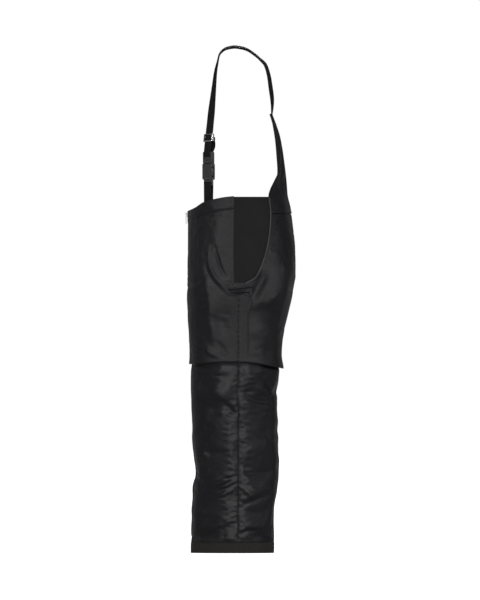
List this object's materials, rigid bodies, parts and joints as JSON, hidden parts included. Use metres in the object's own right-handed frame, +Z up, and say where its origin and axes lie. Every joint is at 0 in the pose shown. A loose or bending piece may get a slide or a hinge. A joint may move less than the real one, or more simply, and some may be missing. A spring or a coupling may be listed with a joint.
{
  "type": "chainsaw chaps",
  "caption": "Padded chainsaw over-trousers with a zipped bib, stretch side wedges, layered lower legs and shoulder braces with side-release buckles.",
  "frame": {"origin": "on the ground, in the middle of the outline between the two leg hems", "axes": "+Z up; the wearer faces -Y; +X is the wearer's left, the side that the picture shows"},
  "size_m": [0.417, 0.3134, 1.4447],
  "materials": {
    "shell": "tight woven nylon shell, satin black with a faint cool sheen",
    "leg": "lighter woven nylon over the padding, satin black, puckered along the seams",
    "stretch": "matt black stretch knit",
    "piping": "narrow folded binding, satin black",
    "hem": "matt warm black hem binding",
    "lining": "smooth black lining cloth",
    "pad": "layers of loose cut-stopping fibre, off-white",
    "webbing": "ribbed black webbing",
    "tape": "fine black zip tape",
    "plastic": "moulded black acetal, satin gloss",
    "metal": "bright nickel-plated steel"
  },
  "bodies": {
    "root": {"front_panel_left": "shell", "front_panel_right": "shell", "back_panel_left": "shell", "back_panel_right": "shell", "side_gusset_left": "stretch", "side_gusset_right": "stretch", "gusset_binding_left": "piping", "gusset_binding_right": "piping", "side_tab_left": "shell", "side_tab_right": "shell", "side_placket_left": "shell", "side_placket_right": "shell", "bib_facing_left": "lining", "bib_facing_right": "lining", "brace_base_left": "shell", "brace_base_right": "shell", "leg_front_left": "leg", "leg_front_right": "leg", "leg_back_left": "leg", "leg_back_right": "leg", "cut_pad_left": "pad", "cut_pad_right": "pad", "leg_lining_left": "lining", "leg_lining_right": "lining", "hem_band_left": "hem", "hem_band_right": "hem", "shoulder_webbing_left": "webbing", "shoulder_webbing_right": "webbing", "anchor_loop_left": "webbing", "anchor_loop_right": "webbing", "buckle_female_left": "plastic", "buckle_female_right": "plastic", "zip_tape_left": "tape", "zip_tape_right": "tape", "zip_chain_left": "metal", "zip_chain_right": "metal", "zip_top_stop_left": "metal", "zip_top_stop_right": "metal", "zip_bottom_stop": "metal"},
    "brace_left": {"front_webbing_left": "webbing", "buckle_male_left": "plastic"},
    "adjuster_left": {"triglide_left": "metal", "adjuster_tail_left": "webbing"},
    "prong_outer_left": {"prong_outer_left": "plastic"},
    "prong_inner_left": {"prong_inner_left": "plastic"},
    "brace_right": {"front_webbing_right": "webbing", "buckle_male_right": "plastic"},
    "adjuster_right": {"triglide_right": "metal", "adjuster_tail_right": "webbing"},
    "prong_outer_right": {"prong_outer_right": "plastic"},
    "prong_inner_right": {"prong_inner_right": "plastic"},
    "zip_slider": {"zip_slider": "metal"},
    "zip_pull": {"zip_pull": "metal"}
  },
  "joints": [
    {"name": "buckle_release_left", "type": "slide", "parent": "root", "child": "brace_left", "axis": [0, 0, 1], "range_m": [0, 0.045]},
    {"name": "adjuster_slide_left", "type": "slide", "parent": "brace_left", "child": "adjuster_left", "axis": [-0.0695, 0.1002, 0.9925], "range_m": [-0.018, 0.058], "deforming": ["adjuster_tail_left"]},
    {"name": "prong_outer_press_left", "type": "hinge", "parent": "brace_left", "child": "prong_outer_left", "pos_m": [0.13736, -0.08477, 1.1054], "axis": [-0.4067, 0.9135, 0], "range_deg": [0, 6], "stiffness_Nm_per_rad": 0.12},
    {"name": "prong_inner_press_left", "type": "hinge", "parent": "brace_left", "child": "prong_inner_left", "pos_m": [0.10264, -0.10023, 1.1054], "axis": [-0.4067, 0.9135, 0], "range_deg": [-6, 0], "stiffness_Nm_per_rad": 0.12},
    {"name": "buckle_release_right", "type": "slide", "parent": "root", "child": "brace_right", "axis": [0, 0, 1], "range_m": [0, 0.045]},
    {"name": "adjuster_slide_right", "type": "slide", "parent": "brace_right", "child": "adjuster_right", "axis": [0.0695, 0.1002, 0.9925], "range_m": [-0.018, 0.058], "deforming": ["adjuster_tail_right"]},
    {"name": "prong_outer_press_right", "type": "hinge", "parent": "brace_right", "child": "prong_outer_right", "pos_m": [-0.13736, -0.08477, 1.1054], "axis": [-0.4067, -0.9135, 0], "range_deg": [0, 6], "stiffness_Nm_per_rad": 0.12},
    {"name": "prong_inner_press_right", "type": "hinge", "parent": "brace_right", "child": "prong_inner_right", "pos_m": [-0.10264, -0.10023, 1.1054], "axis": [-0.4067, -0.9135, 0], "range_deg": [-6, 0], "stiffness_Nm_per_rad": 0.12},
    {"name": "zip_slide", "type": "slide", "parent": "root", "child": "zip_slider", "axis": [0, 0, -1], "range_m": [0, 0.133]},
    {"name": "zip_pull_swing", "type": "hinge", "parent": "zip_slider", "child": "zip_pull", "pos_m": [0, -0.1568, 0.966], "axis": [-1, 0, 0], "range_deg": [0, 150]}
  ],
  "couplings": [
    {"joint": "prong_inner_press_left", "follows": "prong_outer_press_left", "ratio": -1},
    {"joint": "prong_inner_press_right", "follows": "prong_outer_press_right", "ratio": -1}
  ]
}
